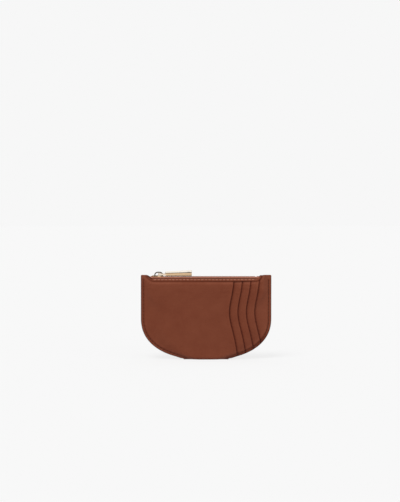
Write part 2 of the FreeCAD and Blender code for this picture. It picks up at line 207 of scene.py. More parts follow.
def stack_front(x, z):
    """Outer face of what shows on the front."""
    out = squeeze(x, sum(SHELL_FRONT))
    for index in (1, 2, 3, 4):
        step = FIRST_EDGE if index == 1 else SLOT_EDGE
        out = out - step * smooth((past_wave(index, x, z) + 0.2) / EDGE_RUN)
    return out


def noise_at(x, z, scale_x, scale_z, seed):
    """Smooth noise over the wall, the same on every run."""
    points = np.broadcast_arrays(np.asarray(x, float), np.asarray(z, float))
    flat = [
        noise.noise(Vector((a / scale_x, b / scale_z, seed)))
        for a, b in zip(points[0].ravel(), points[1].ravel())
    ]
    return np.array(flat).reshape(points[0].shape)


# ---------------------------------------------------------------- paths

def arc3(points, count):
    """Points of the arc through three points."""
    (ax, ay), (bx, by), (cx, cy) = points
    d = 2 * (ax * (by - cy) + bx * (cy - ay) + cx * (ay - by))
    a2, b2, c2 = ax * ax + ay * ay, bx * bx + by * by, cx * cx + cy * cy
    ux = (a2 * (by - cy) + b2 * (cy - ay) + c2 * (ay - by)) / d
    uy = (a2 * (cx - bx) + b2 * (ax - cx) + c2 * (bx - ax)) / d
    start = math.atan2(ay - uy, ax - ux)
    end = math.atan2(cy - uy, cx - ux)
    turn = (end - start + math.pi) % (2 * math.pi) - math.pi
    radius = math.hypot(ax - ux, ay - uy)
    angles = start + turn * np.linspace(0, 1, count)
    return np.stack([ux + radius * np.cos(angles), uy + radius * np.sin(angles)], 1)


def side_path(sign):
    """Outline from the end of the base up one side to the top of the scoop."""
    low = np.array([[BASE_HALF, 0.0]])
    z = np.concatenate([np.linspace(CURVE_START, 12, 40), np.linspace(12.4, CURVE_TOP, 70)])
    curve = np.stack([curve_half_width(z), z], 1)
    corner = np.linspace(0, math.pi / 2, 8)
    tab = np.stack([
        HALF_WIDTH - TAB_RADIUS + TAB_RADIUS * np.cos(corner),
        BODY_TOP - TAB_RADIUS + TAB_RADIUS * np.sin(corner),
    ], 1)
    end = SCOOP_RIGHT[-1] if sign > 0 else (-SCOOP_LEFT[0][0], SCOOP_LEFT[0][1])
    path = np.concatenate([low, curve, tab, [end]])
    path[:, 0] *= sign
    return path


def mouth_path():
    """Mouth from the top of the right scoop to the top of the left one."""
    right = arc3(SCOOP_RIGHT[::-1], 10)
    left = arc3(SCOOP_LEFT[::-1], 10)
    return np.concatenate([right, left])


def resample(path, step):
    """Even points along a path."""
    gaps = np.linalg.norm(np.diff(path, axis=0), axis=1)
    along = np.concatenate([[0], np.cumsum(gaps)])
    count = max(2, int(round(along[-1] / step)) + 1)
    at = np.linspace(0, along[-1], count)
    return np.stack([np.interp(at, along, path[:, k]) for k in range(path.shape[1])], 1)


def inward(path):
    """Unit normals to the left of the path's direction."""
    t = np.gradient(path, axis=0)
    t /= np.linalg.norm(t, axis=1)[:, None]
    return np.stack([-t[:, 1], t[:, 0]], 1)


def distance_to(points, path):
    """Distance of 2D points from an open path."""
    a, b = path[:-1], path[1:]
    ab = b - a
    length = (ab ** 2).sum(1)
    result = np.empty(len(points))
    for start in range(0, len(points), 2000):
        p = points[start:start + 2000, None, :]
        t = np.clip(((p - a) * ab).sum(2) / length, 0, 1)
        nearest = a + ab * t[..., None]
        result[start:start + 2000] = np.sqrt(((p - nearest) ** 2).sum(2).min(1))
    return result


def binding_width(z):
    """The binding narrows as it climbs the scoops."""
    return BINDING + (BINDING_END - BINDING) * smooth((z - MOUTH_TOP) / 3.5)


SIDE_RIGHT = resample(side_path(1), 0.5)
SIDE_LEFT = resample(side_path(-1), 0.5)
MOUTH = resample(mouth_path(), 0.5)
BINDING_LOW = MOUTH + inward(MOUTH) * binding_width(MOUTH[:, 1])[:, None]


def outline(side_inset, mouth_inset, top=None):
    """Closed outline, from the left end of the base to the right and round."""
    right = SIDE_RIGHT + inward(SIDE_RIGHT) * side_inset
    left = (SIDE_LEFT - inward(SIDE_LEFT) * side_inset)[::-1]
    mouth = MOUTH + inward(MOUTH) * mouth_inset
    base = np.stack([np.linspace(-BASE_HALF, BASE_HALF, 45), np.zeros(45)], 1)
    right, left = right[1:], left[:-1]
    if top is None:
        right = right[:-2]
        left = left[2:]
        return np.concatenate([base, right, mouth[1:-1], left])
    right = right[right[:, 1] < top - 0.4]
    left = left[left[:, 1] < top - 0.4]
    ends = np.array([[right[-1, 0], top], [left[0, 0], top]])
    return np.concatenate([base, right, resample(ends, 1.5), left])


def clip(poly, edge, keep_left):
    """Part of a closed outline on one side of a curve x = edge(z)."""
    sign = 1 if keep_left else -1
    inside = sign * (edge(poly[:, 1]) - poly[:, 0]) > 0.15
    start = next(i for i in range(len(poly)) if inside[i] and not inside[i - 1])
    run = np.roll(poly, -start, axis=0)
    flags = np.roll(inside, -start)
    count = next(i for i in range(len(poly)) if not flags[i])
    kept = run[:count]
    z0, z1 = kept[-1, 1], kept[0, 1]
    z = np.linspace(z0, z1, max(3, int(abs(z1 - z0) / 0.6)))
    return np.concatenate([kept, np.stack([edge(z), z], 1)])


# ---------------------------------------------------------------- meshes

def put_in_scene(name, data):
    obj = bpy.data.objects.new(name, data)
    bpy.context.scene.collection.objects.link(obj)
    return obj


def make_mesh(name, verts, faces, smooth_angle=None, **attributes):
    """Object from vertices in millimetres. Attributes are per vertex, or per face."""
    mesh = bpy.data.meshes.new(name)
    mesh.from_pydata((np.asarray(verts, float) * MM).tolist(), [], faces)
    mesh.validate()
    for key, values in attributes.items():
        domain = "POINT" if len(values) == len(mesh.vertices) else "FACE"
        layer = mesh.attributes.new(key, "FLOAT", domain)
        layer.data.foreach_set("value", np.asarray(values, float))
    mesh.shade_smooth()
    if smooth_angle is not None:
        mesh.set_sharp_from_angle(angle=math.radians(smooth_angle))
    return put_in_scene(name, mesh)


class Solid:
    """Several closed lofts in one mesh, each face with a tone."""

    def __init__(self):
        self.verts, self.faces, self.tone = [], [], []

    def loft(self, rings, tone=1.0, strips=None):
        """Closed rings, one after another, capped at both ends. strips gives the tone of a
        face from the number of its ring and of its place in the ring."""
        base, n = len(self.verts), len(rings[0])
        for ring in rings:
            self.verts.extend(np.asarray(ring, float).tolist())
        for i in range(len(rings) - 1):
            for j in range(n):
                k = (j + 1) % n
                a, b = base + i * n, base + (i + 1) * n
                self.faces.append((a + j, a + k, b + k, b + j))
                self.tone.append(strips(i, j) if strips else tone)
        self.faces.append(tuple(base + j for j in range(n))[::-1])
        last = base + (len(rings) - 1) * n
        self.faces.append(tuple(last + j for j in range(n)))
        self.tone += [tone, tone]
        return self

    def object(self, name, angle, shade=None):
        """Object with faces outwards, that carries its tones, or a shade for each vertex."""
        carried = {"tone": self.tone} if shade is None else {"shade": shade}
        obj = make_mesh(name, self.verts, self.faces, angle, **carried)
        bm = bmesh.new()
        bm.from_mesh(obj.data)
        bmesh.ops.recalc_face_normals(bm, faces=bm.faces)
        bm.to_mesh(obj.data)
        bm.free()
        return obj


def superellipse(count, a, b, power):
    """Closed ring between an ellipse (power 2) and a rectangle."""
    angles = np.arange(count) * 2 * math.pi / count
    c, s = np.cos(angles), np.sin(angles)
    return np.stack([
        a * np.sign(c) * np.abs(c) ** (2 / power),
        b * np.sign(s) * np.abs(s) ** (2 / power),
    ], 1)


# ---------------------------------------------------------------- panels

RINGS = (0.07, 0.18, 0.34, 0.55, 0.85, 1.25, 1.7, 2.1, 2.45, 2.75, 3.1, 3.6, 4.4)
STEP = 1.35               # between the points of a wall, away from its edges


def triangulate(boundary, rings, step):
    """Points and triangles of an outline, with rows of points along its edge.
    The outline's own points come first, in order."""
    closed = np.concatenate([boundary, boundary[:1]])
    wrapped = np.concatenate([boundary[-1:], boundary, boundary[:1]])
    normals = inward(wrapped)[1:-1]
    points = [boundary]
    for depth in rings:
        ring = boundary + normals * depth
        apart = distance_to(ring, closed) > depth * 0.93
        points.append(ring[apart])
    low, high = boundary.min(0), boundary.max(0)
    rows = np.arange(low[1] + 0.31, high[1], step * 0.866)
    grid = []
    for i, z in enumerate(rows):
        xs = np.arange(low[0] + 0.17 + (i % 2) * step / 2, high[0], step)
        grid.append(np.stack([xs, np.full(len(xs), z)], 1))
    grid = np.concatenate(grid)
    grid = grid[within(grid, boundary)]
    grid = grid[distance_to(grid, closed) > (rings[-1] if rings else 0) + step * 0.5]
    points = np.concatenate(points + [grid])
    n = len(boundary)
    edges = [(i, (i + 1) % n) for i in range(n)]
    found, _, faces, origins, _, _ = delaunay_2d_cdt(
        [Vector(p) for p in points.tolist()], edges, [], 1, 1e-5
    )
    order = {}
    for i, source in enumerate(origins):
        for k in source:
            order.setdefault(k, i)
    lead = [order[k] for k in range(n)]
    rest = [i for i in range(len(found)) if i not in set(lead)]
    place = {old: new for new, old in enumerate(lead + rest)}
    coords = np.array([found[i][:] for i in lead + rest])
    return coords, [tuple(place[v] for v in f) for f in faces]


def within(points, poly):
    """Which points lie inside a closed outline."""
    inside = np.zeros(len(points), bool)
    a, b = poly, np.roll(poly, -1, axis=0)
    for (x0, z0), (x1, z1) in zip(a, b):
        if z0 == z1:
            continue
        crosses = (z0 > points[:, 1]) != (z1 > points[:, 1])
        at = x0 + (points[:, 1] - z0) * (x1 - x0) / (z1 - z0)
        inside ^= crosses & (points[:, 0] < at)
    return inside


def seam_places(sign):
    """Middle and direction of each seam stitch: rows of x, z, dx, dz."""
    path = SIDE_RIGHT if sign > 0 else SIDE_LEFT
    inner = path + inward(path) * (GROOVE * sign)
    inner = inner[(inner[:, 1] < SEAM_STITCH_TOP) & (inner[:, 1] > CURVE_START + GROOVE - 0.4)]
    places = resample(inner[::-1], STITCH_PITCH)
    middle = (places[:-1] + places[1:]) / 2
    along = np.diff(places, axis=0)
    return np.concatenate([middle, along / np.linalg.norm(along, axis=1)[:, None]], 1)


SEAM_STITCHES = {sign: seam_places(sign) for sign in (-1, 1)}
HOLES = np.concatenate([
    places[:, :2] + places[:, 2:] * reach
    for places in SEAM_STITCHES.values()
    for reach in (-STITCH_PITCH / 2, STITCH_PITCH / 2)
])


def to_holes(points):
    """Distance of 2D points from the nearest hole of a seam stitch."""
    result = np.empty(len(points))
    for start in range(0, len(points), 2000):
        gap = points[start:start + 2000, None, :] - HOLES
        result[start:start + 2000] = np.sqrt((gap ** 2).sum(2).min(1))
    return result


class Wall:
    """What the relief of one wall depends on, at each point."""

    def __init__(self, points):
        self.x, self.z = points[:, 0], points[:, 1]
        self.edge = np.minimum(distance_to(points, SIDE_RIGHT), distance_to(points, SIDE_LEFT))
        low = distance_to(points, BINDING_LOW)
        covered = within(points, np.concatenate([MOUTH, BINDING_LOW[::-1]]))
        self.crease = np.where(covered, -low, low)
        self.holes = to_holes(points)

    def sink(self, share):
        """How far the leather is pulled in beside the binding."""
        return -0.5 * share * (1 - smooth(self.crease / 3.8))

    def relief(self, seed):
        """Grooves, puckers and slow unevenness of the outer face."""
        below = smooth((79.9 - self.z) / 1.5)
        low = smooth((self.z - 3.0) / 3.0)
        groove = -0.28 * bump(self.edge - GROOVE, 0.6) * below * low
        pucker = -0.16 * bump(self.holes, 0.55)
        ridge = 0.05 * bump(self.edge - 1.4, 0.7)
        inside = smooth((self.edge - 3.4) / 4.0)
        slow = 0.12 * noise_at(self.x, self.z, 17.0, 11.0, seed)
        folds = noise_at(self.x, self.z, 8.0, 2.0, seed + 4.0)
        upper = smooth((self.z - 58.0) / 18.0) * smooth((self.crease - 1.0) / 3)
        folds = folds * (0.02 + 0.07 * upper)
        return groove + pucker + ridge + inside * (slow + folds)

    def shade(self, seed):
        """Painted light and shade on the leather, with a faint random tone. Painted shade in the
        seam groove, in the stitch holes, along the outer edge (with the edge paint), on the rim low
        on the right, under the lower edge of the binding and towards the fold at the bottom;
        painted highlights on the margin beside the edge, inside the groove low on the right, in a
        broken streak and a broad band below the binding, and painted light and shade on the
        wrinkles near the top.
        """
        below = smooth((80.6 - self.z) / 1.0)
        low = 1 - smooth((self.z - 22.0) / 12.0)
        right = smooth(self.x / 10.0)
        value = 1 - (0.28 + 0.12 * low * (1 - right)) * bump(self.edge - GROOVE, 0.75) * below
        value *= 1 - 0.32 * low * right * (1 - smooth((self.edge - 1.8) / 1.0))
        value *= 1 + 0.09 * low * right * bump(self.edge - 5.2, 1.0)
        value *= 1 - 0.22 * bump(self.holes, 0.7)
        value *= 1 + 0.05 * bump(self.edge - 1.35, 0.5)
        value *= 0.6 + 0.4 * smooth((self.edge - 0.35) / 0.6)
        tab = smooth((BODY_TOP - 0.2 - self.z) / 1.8)
        value *= 1 - 0.42 * bump(self.crease + 0.1, 0.6) * tab
        # painted highlight: a broken streak where the leather below the binding catches the light
        broken = 2.2 * noise_at(self.x, self.z, 9.0, 30.0, seed + 9) + 0.4
        streak = 0.5 + 0.5 * np.clip(broken, -1, 1)
        value *= 1 + (0.10 + 0.20 * streak) * bump(self.crease - 1.9, 1.0)
        value *= 1 + 0.05 * bump(self.crease - 4.4, 2.6)
        value *= 1 + 0.03 * noise_at(self.x, self.z, 14.0, 12.0, seed + 2)
        wrinkles = noise_at(self.x, self.z, 16.0, 2.2, seed + 5) * smooth((self.z - 56) / 12)
        value *= 1 + 0.07 * wrinkles * smooth((self.crease - 2.5) / 2.0)
        # painted shade: darker towards the fold at the bottom
        return value * (0.5 + 0.5 * smooth((self.z + 0.6) / 3.8))


def lift(points, index):
    """A slot edge stands a little off the layer below it."""
    near = -past_wave(index, points[:, 0], points[:, 1])
    uneven = 1 + 0.5 * noise_at(points[:, 0] * 0, points[:, 1], 1.0, 11.0, 3.0 * index)
    inner = smooth((distance_to(points, SIDE_RIGHT) - 3.0) / 8.0)
    below = smooth((distance_to(points, MOUTH) - 2.0) / 8.0)
    return 0.30 * bump(near, 2.6) * uneven * inner * below


def edge_shade(points, own=None, before=None):
    """Edge paint and painted shade at a slot's own edge, a painted highlight on the lip beside it,
    and painted shadow cast by the edge before it. On the backing, painted light grows towards the
    right.
    """
    x, z = points[:, 0], points[:, 1]
    value = np.ones(len(points))
    if own is not None:
        near = -past_wave(own, x, z)
        value *= 1 - 0.50 * (1 - smooth((near - 0.05) / 0.5))
        value *= 1 + 0.04 * bump(near - 1.1, 0.6)
    if before is not None:
        under = past_wave(before, x, z)
        value *= 1 - 0.55 * (1 - smooth((under - 0.4) / 1.0))
        value *= 1 - 0.16 * (1 - smooth(under / 4.0))
        # painted light: the backing grows lighter towards the right
        if before == 4:
            value *= 1 + 0.12 * smooth((under - 1.0) / 9.0)
    return value


def rounded(thick, depth):
    """Half thickness at a distance from a rounded edge."""
    t = 1 - np.clip(depth / (thick / 2), 0, 1)
    return thick / 2 * np.sqrt(np.clip(1 - t * t, 0, 1))


def rim_depth(points, boundary):
    """Distance of 2D points from a closed outline."""
    return distance_to(points, np.concatenate([boundary, boundary[:1]]))


def leather_layer(points, depth, side, layer, own, seed, share):
    """Middle, half thickness, relief and wall of a leather layer. own is the number of its
    wavy edge; share says how far the binding pulls it in."""
    x, z = points[:, 0], points[:, 1]
    inner, thick = layer
    wall = Wall(points)
    offset = squeeze(x, inner) if side < 0 else inner
    shift = wall.sink(share) + (lift(points, own) if own else 0)
    middle = half_gap(x, z) + offset + thick / 2 + shift
    return middle, rounded(thick, depth), wall.relief(seed) * smooth(depth / 0.5), wall


def sheet_between(points, faces, count, middle, half, side, outer, inner):
    """Closed panel: outer and inner face share the first count points, its rim."""
    x, z = points[:, 0], points[:, 1]
    front = np.stack([x, side * (middle + half + outer), z], 1)
    back = np.stack([x, side * (middle - half + inner), z], 1)[count:]
    n = len(points)
    other = [tuple(v if v < count else v + n - count for v in f) for f in faces]
    if side < 0:
        other = [f[::-1] for f in other]
    else:
        faces = [f[::-1] for f in faces]
    verts = np.concatenate([front, back])
    verts[:, 1] += ZIP_Y
    return verts, list(faces) + other


def panel(name, boundary, layer, seed, share, before, own=None):
    """One leather layer of the front wall. before is the number of the edge in front of it."""
    points, faces = triangulate(boundary, RINGS, STEP)
    count = len(boundary)
    depth = rim_depth(points, boundary)
    middle, half, relief, wall = leather_layer(points, depth, -1, layer, own, seed, share)
    verts, all_faces = sheet_between(points, faces, count, middle, half, -1, relief, 0)
    shade = wall.shade(seed) * edge_shade(points, own, before)
    shade = np.concatenate([shade, shade[count:] * 0.7])
    return make_mesh(name, verts, all_faces, shade=shade)


def fabric(name, boundary, side, layer):
    """One layer of lining cloth."""
    points, faces = triangulate(boundary, (0.1, 1.0), 2.6)
    inner, thick = layer
    x, z = points[:, 0], points[:, 1]
    offset = squeeze(x, inner) if side < 0 else inner
    middle = half_gap(x, z) + offset + thick / 2
    half = rounded(thick, rim_depth(points, boundary))
    verts, all_faces = sheet_between(points, faces, len(boundary), middle, half, side, 0, 0)
    return make_mesh(name, verts, all_faces)


# ---------------------------------------------------------------- outer shell

def fold_radius(x):
    """Radius of the fold at the base, small at its two ends."""
    return 0.35 + 1.75 * smooth((BASE_HALF - np.abs(x)) / 9.0)


def folded(x, z, reach, thick, half, outwards, relief):
    """A point of one wall, with its lowest part turned under. outwards is 1 for the outer
    face of the leather and -1 for the inner one. Returns the distance from the zip plane
    and the height."""
    radius = fold_radius(x)
    top = radius + thick / 2
    turned = (np.abs(x) < BASE_HALF) & (z < top)
    angle = np.where(turned, (1 - z / top) * math.pi / 2, 0.0)
    across = np.where(turned, reach - radius + radius * np.cos(angle), reach)
    height = np.where(turned, top - radius * np.sin(angle), z)
    push = outwards * half + relief
    return across + push * np.cos(angle), height - push * np.sin(angle)


def shell_wall(boundary, side, layer, own, seed):
    """Points and attributes of the shell's front or back, with the base row first."""
    points, faces = triangulate(boundary, RINGS, STEP)
    count = len(boundary)
    base_row = [i for i in range(count) if boundary[i, 1] < 1e-6]
    free = np.roll(boundary, -(len(base_row) - 1), axis=0)
    free = free[:count - len(base_row) + 2]
    depth = distance_to(points, free)
    reach, half, relief, wall = leather_layer(points, depth, side, layer, own, seed, 1.0)
    x, z, thick = points[:, 0], points[:, 1], layer[1]
    out_y, out_z = folded(x, z, reach, thick, half, 1, relief)
    in_y, in_z = folded(x, z, reach, thick, half, -1, 0)
    outer = np.stack([x, side * out_y + ZIP_Y, out_z], 1)
    inner_face = np.stack([x, side * in_y + ZIP_Y, in_z], 1)
    shade = wall.shade(seed) * edge_shade(points, own)
    return outer, inner_face, faces, shade, base_row, count


def outer_shell():
    """Front panel, folded base and back in one piece."""
    whole = outline(BEAD, MOUTH_DROP)
    front_edge = clip(whole, lambda z: wave_x(1, z), True)
    walls = [
        shell_wall(front_edge, -1, SHELL_FRONT, 1, 1.0),
        shell_wall(whole, 1, SHELL_BACK, None, 21.0),
    ]
    verts, faces, shade = [], [], []
    rows = []
    for side, (outer, inner, tris, value, base, count) in zip((-1, 1), walls):
        start = len(verts)
        free_rim = {i for i in range(count) if i not in base[1:-1]}
        verts.extend(outer.tolist())
        shade.extend(value.tolist())
        inner_index = {}
        for i in range(len(outer)):
            if i in free_rim:
                inner_index[i] = start + i
            else:
                inner_index[i] = len(verts)
                verts.append(inner[i].tolist())
                shade.append(float(value[i]) * 0.7)
        for f in tris:
            outer_face = tuple(start + v for v in f)
            inner_face = tuple(inner_index[v] for v in f)
            faces.append(outer_face if side < 0 else outer_face[::-1])
            faces.append(inner_face[::-1] if side < 0 else inner_face)
        rows.append(([start + i for i in base], [inner_index[i] for i in base]))
    # The folded base joins the two rows of points, outer faces first, then inner ones
    steps = 5
    for k, flip in ((0, False), (1, True)):
        front, back = rows[0][k], rows[1][k]
        grid = [front]
        for s in range(1, steps):
            t = s / steps
            row = []
            for j, (a, b) in enumerate(zip(front, back)):
                if k == 1 and j in (0, len(front) - 1):
                    row.append(first_rows[s - 1][j])
                    continue
                pa, pb = np.array(verts[a]), np.array(verts[b])
                row.append(len(verts))
                verts.append((pa * (1 - t) + pb * t).tolist())
                shade.append(shade[a] * (1 - t) + shade[b] * t)
            grid.append(row)
        if k == 0:
            first_rows = grid[1:]
        grid.append(back)
        for r0, r1 in zip(grid[:-1], grid[1:]):
            for j in range(len(r0) - 1):
                quad = (r0[j], r1[j], r1[j + 1], r0[j + 1])
                faces.append(quad[::-1] if flip else quad)
    return make_mesh("shell_leather", verts, faces, shade=shade)


# ---------------------------------------------------------------- edge beads, binding, thread

def rim(path, sign, fade_end):
    """Rings of a rounded bead that closes the layers along part of the outline."""
    normal = -inward(path) * sign
    x, z = path[:, 0], path[:, 1]
    front = stack_front(x, z) - STITCH_SINK
    back = sum(SHELL_BACK) - STITCH_SINK
    along = np.concatenate([[0], np.cumsum(np.linalg.norm(np.diff(path, axis=0), axis=1))])
    fade = smooth((along[-1] - along - 0.5) / 4.0) if fade_end else np.ones(len(path))
    turns = np.linspace(-1, 1, 11)
    profile = [(v, 0.75 * (1 - math.sqrt(max(0.0, 1 - abs(v) ** 2.6)))) for v in turns]
    profile += [(0.8, 1.25), (0.0, 1.25), (-0.8, 1.25)]
    rings = []
    for i in range(len(path)):
        centre, wide = (back - front[i]) / 2, (back + front[i]) / 2 * (0.8 + 0.2 * fade[i])
        ring = []
        for k, (v, deep) in enumerate(profile):
            deep = deep + (0.45 * (1 - fade[i]) if k < len(turns) else 0.0)
            spot = path[i] + normal[i] * deep
            ring.append((spot[0], centre + v * wide + ZIP_Y, spot[1]))
        rings.append(ring)
    return rings


def edge_bead(sign):
    """Painted edge along one side, from the tab's corner to the base."""
    path = resample(side_path(sign), 0.7)[::-1]
    path = path[path[:, 1] < BODY_TOP - 0.5]
    return Solid().loft(rim(path, sign, True)).object(f"edge_paint_{SIDES[sign]}", 50)


def tab_cap(sign):
    """Turned leather edge on top of one tab, round its corner."""
    path = resample(side_path(sign), 0.4)[::-1]
    path = path[(path[:, 1] > BODY_TOP - 0.75) & (np.abs(path[:, 0]) > TAB_CLOSED)]
    solid = Solid().loft(rim(path, sign, False))
    # painted highlight on the top face of the tab, a little shade on its sides
    shade = [1.25 if v[2] > BODY_TOP - 0.5 else 0.95 for v in solid.verts]
    return solid.object(f"tab_top_{SIDES[sign]}", 60, shade)


def binding_base(x, side):
    """Outer face of what the binding lies on, near the mouth."""
    if side > 0:
        return np.full_like(np.asarray(x, float), sum(SHELL_BACK) - 0.42)
    high = squeeze(x, sum(SHELL_FRONT)) - 0.46
    low = sum(BACKING) - 0.10
    return high + (low - high) * smooth((np.asarray(x, float) - 27.0) / 27.0)


# Outer face of the binding: distance below the mouth's edge, and height above what it lies on
BINDING_FACE = [(2.66, 0.02), (2.58, 0.26), (2.30, 0.42), (1.85, 0.52), (1.40, 0.55), (1.00, 0.44),
                (0.62, 0.50), (0.28, 0.36), (0.06, 0.06)]
# and its painted light and shade at a distance below the edge: a highlight on the rounded top,
# shade at both edges
BINDING_SHADE = [(0.0, 0.2, 0.5, 1.2, 1.7, 2.3, 2.6), (0.7, 1.1, 1.32, 1.28, 1.05, 0.92, 0.7)]


def binding(side):
    """Leather strip folded over the edge of the mouth."""
    path = resample(mouth_path(), 0.6)
    normal = inward(path)
    rings, shade = [], []
    wave = noise_at(path[:, 0], path[:, 0] * 0, 7.0, 1.0, 5.0 + side)
    ceiling = BODY_TOP - MOUTH_DROP - 0.15
    for p, n, uneven in zip(path, normal, wave):
        ring = []
        base = float(binding_base(p[0], side))
        share = float(binding_width(p[1])) / BINDING
        left_scoop = float(smooth((p[1] - MOUTH_TOP) / 0.6)) if p[0] < 0 else 0.0
        for depth, high in BINDING_FACE:
            q = p + n * (depth * share + 0.10 * uneven * (depth > 2))
            ring.append((q[0], base + high, q[1]))
            # painted shadow along the top of the binding in the left scoop
            dark = 0.72 * left_scoop if depth < 1.2 else 0.0
            shade.append(float(np.interp(depth, *BINDING_SHADE)) * (1 - dark))
        over = [(0.0, base - 0.3), (0.0, (base + 0.5) / 2 + 0.1), (0.02, 0.85), (0.14, 0.58),
                (0.45, 0.42), (1.9, 0.42)]
        under = [(1.9, 0.72), (0.6, 0.80), (0.55, base - 0.05), (2.5 * share, base - 0.1)]
        for depth, reach in over + under:
            q = p + n * depth
            ring.append((q[0], reach, q[1]))
        # painted shade on the turned-over top and on the underside
        shade += [0.6] * len(over) + [0.5] * len(under)
        rings.append([
            (x, side * (float(half_gap(x, z)) + reach) + ZIP_Y, min(z, ceiling))
            for x, reach, z in ring
        ])
    return Solid().loft(rings).object(f"binding_leather_{WALLS[side]}", None, shade)


def stitches(name, places, side, offset):
    """Waxed stitches whose ends dive into their holes. places are x, z, dx, dz."""
    solid = Solid()
    for x, z, dx, dz in places:
        rings = []
        for t in np.linspace(-1, 1, 9):
            cx, cz = x + dx * t * STITCH_LENGTH / 2, z + dz * t * STITCH_LENGTH / 2
            rise = 0.13 - 0.30 * t * t * t * t
            out = float(half_gap(cx, cz)) + float(offset(cx, cz)) + rise
            size = STITCH_RADIUS * math.sqrt(max(0.05, 1 - abs(t) ** 6))
            ring = []
            for a in np.arange(8) * math.pi / 4:
                across, up = math.cos(a) * size * 1.15, math.sin(a) * size
                ring.append((cx - dz * across, side * (out + up) + ZIP_Y, cz + dx * across))
            rings.append(ring)
        solid.loft(rings)
    return solid.object(name, 80)


def seam_offset(side):
    """Where the seam's stitches start on one wall."""
    if side > 0:
        return lambda x, z: sum(SHELL_BACK) - STITCH_SINK
    return lambda x, z: float(stack_front(np.float64(x), np.float64(z))) - STITCH_SINK


def seam_thread(sign):
    """Stitches of one side seam, on the front and on the back."""
    return [
        stitches(f"stitches_{SIDES[sign]}_{word}", SEAM_STITCHES[sign], side, seam_offset(side))
        for side, word in WALLS.items()
    ]


def binding_thread(side):
    """Straight row of stitches on the binding."""
    left, right = SCOOP_LEFT[-1][0], SCOOP_RIGHT[0][0]
    count = int((right - left) / STITCH_PITCH)
    places = [
        (left + (i + 0.5) * STITCH_PITCH, MOUTH_TOP - BINDING_STITCH, 1.0, 0.0)
        for i in range(count)
    ]
    name = f"stitches_binding_{WALLS[side]}"
    return stitches(name, places, side, lambda x, z: float(binding_base(x, side)) + 0.44)


# ---------------------------------------------------------------- zip

def tape(side):
    """Woven tape: level beside the teeth, bent over and hanging inside the wall."""
    low, high = cad_box(f"zip_tape_{WALLS[side]}")
    bend, thick, inner = 0.95, 0.35, 1.0
    wall = 3.03 + thick
    bottom = float(low[2])
    upper, lower = CHAIN_Z + thick / 2, CHAIN_Z - thick / 2
    bend_y, bend_z = wall - bend, upper - bend
    turn = np.linspace(0, math.pi / 2, 7)
    drop = (80.4, 79.0, 76.0, 73.5, bottom + 0.1)
    profile = [(inner - 0.1, CHAIN_Z + 0.10), (inner, upper), (1.7, upper)]
    profile += [(bend_y + bend * math.sin(a), bend_z + bend * math.cos(a)) for a in turn]
    profile += [(wall, z) for z in drop] + [(wall - thick / 2, bottom)]
    profile += [(wall - thick, z) for z in drop[::-1]]
    small = bend - thick
    profile += [(bend_y + small * math.sin(a), bend_z + small * math.cos(a)) for a in turn[::-1]]
    profile += [(1.7, lower), (inner, lower), (inner - 0.1, CHAIN_Z - 0.10)]
    xs = np.arange(float(low[0]), float(high[0]) + 0.3, 0.6)
    wave = noise_at(xs, xs * 0, 6.0, 1.0, 2.0 + side)
    rings, shade = [], []
    for x, w in zip(xs, wave):
        ring = []
        for y, z in profile:
            out = 0.05 * w if y > 2 else 0
            up = 0.03 * w + 0.08 if z > 81 else 0
            ring.append((x, side * (y + out) + ZIP_Y, z + up))
            # painted shadow on the lower part of the tape, in the gap above the binding
            shade.append(float(np.interp(z, (80.8, 81.3, 81.7), (0.30, 0.42, 1.0))))
        rings.append(ring)
    return Solid().loft(rings).object(f"tape_weave_{WALLS[side]}", 50, shade)


# A tooth from its root to its head: distance from the zip's middle, half width and half height
TOOTH = [(1.86, 0.30, 0.42), (1.78, 0.47, 0.68), (1.45, 0.52, 0.80), (1.00, 0.50, 0.80),
         (0.70, 0.38, 0.74), (0.40, 0.34, 0.70), (0.15, 0.42, 0.70), (-0.05, 0.47, 0.68),
         (-0.25, 0.42, 0.60), (-0.36, 0.24, 0.40)]


def teeth(side):
    """One row of moulded teeth. The rows mesh, and part round the slider's post."""
    start = CHAIN_LEFT + (TOOTH_PITCH / 2 if side > 0 else 0.0) + 0.62
    count = int((CHAIN_RIGHT - start + 0.62) / TOOTH_PITCH)
    # painted light and shade: the back row, seen between the front teeth, is lighter and the front
    # row darker; each tooth also differs a little at random
    height, tone = (1.2, 0.72) if side < 0 else (1.08, 1.1)
    solid = Solid()
    for i in range(count):
        x = start + i * TOOTH_PITCH
        apart = 0.62 * (1 - float(smooth((x - POST_X) / 3.0)))
        rings = []
        for y, wide, tall in TOOTH:
            ring = superellipse(12, wide * 0.9, tall * height, 3.2)
            rings.append([(x + a, side * (y + apart) + ZIP_Y, CHAIN_Z + b) for a, b in ring])
        solid.loft(rings, tone + 0.1 * noise.noise(Vector((x, side * 3.0, 0.5))))
    return solid.object(f"teeth_{WALLS[side]}_row", 60)


def stop_block(name, node):
    """Moulded stop with rounded edges, in its CAD node's place."""
    low, high = cad_box(node)
    centre, half = (low + high) / 2, (high - low) / 2
    rings = []
    for t, share in ((-1, 0.70), (-0.86, 0.94), (-0.5, 1.0), (0.5, 1.0), (0.86, 0.94), (1, 0.70)):
        ring = superellipse(16, half[1] * share, half[2] * share, 4.0)
        rings.append([(centre[0] + half[0] * t, centre[1] + a, centre[2] + b) for a, b in ring])
    return Solid().loft(rings).object(name, 50)


# ---------------------------------------------------------------- slider and pull

def plan_half(t):
    """Half width of the slider at a share t of its length, from the nose."""
    nose = math.sqrt(max(0.0, 1 - (1 - min(1.0, t / 0.24)) ** 2))
    tail = 1 - 0.09 * float(smooth((t - 0.4) / 0.5))
    end = math.sqrt(max(0.0, 1 - max(0.0, (t - 0.95) / 0.05) ** 2)) * 0.35 + 0.65
    return (0.9 + (2.75 - 0.9) * nose) * tail * end


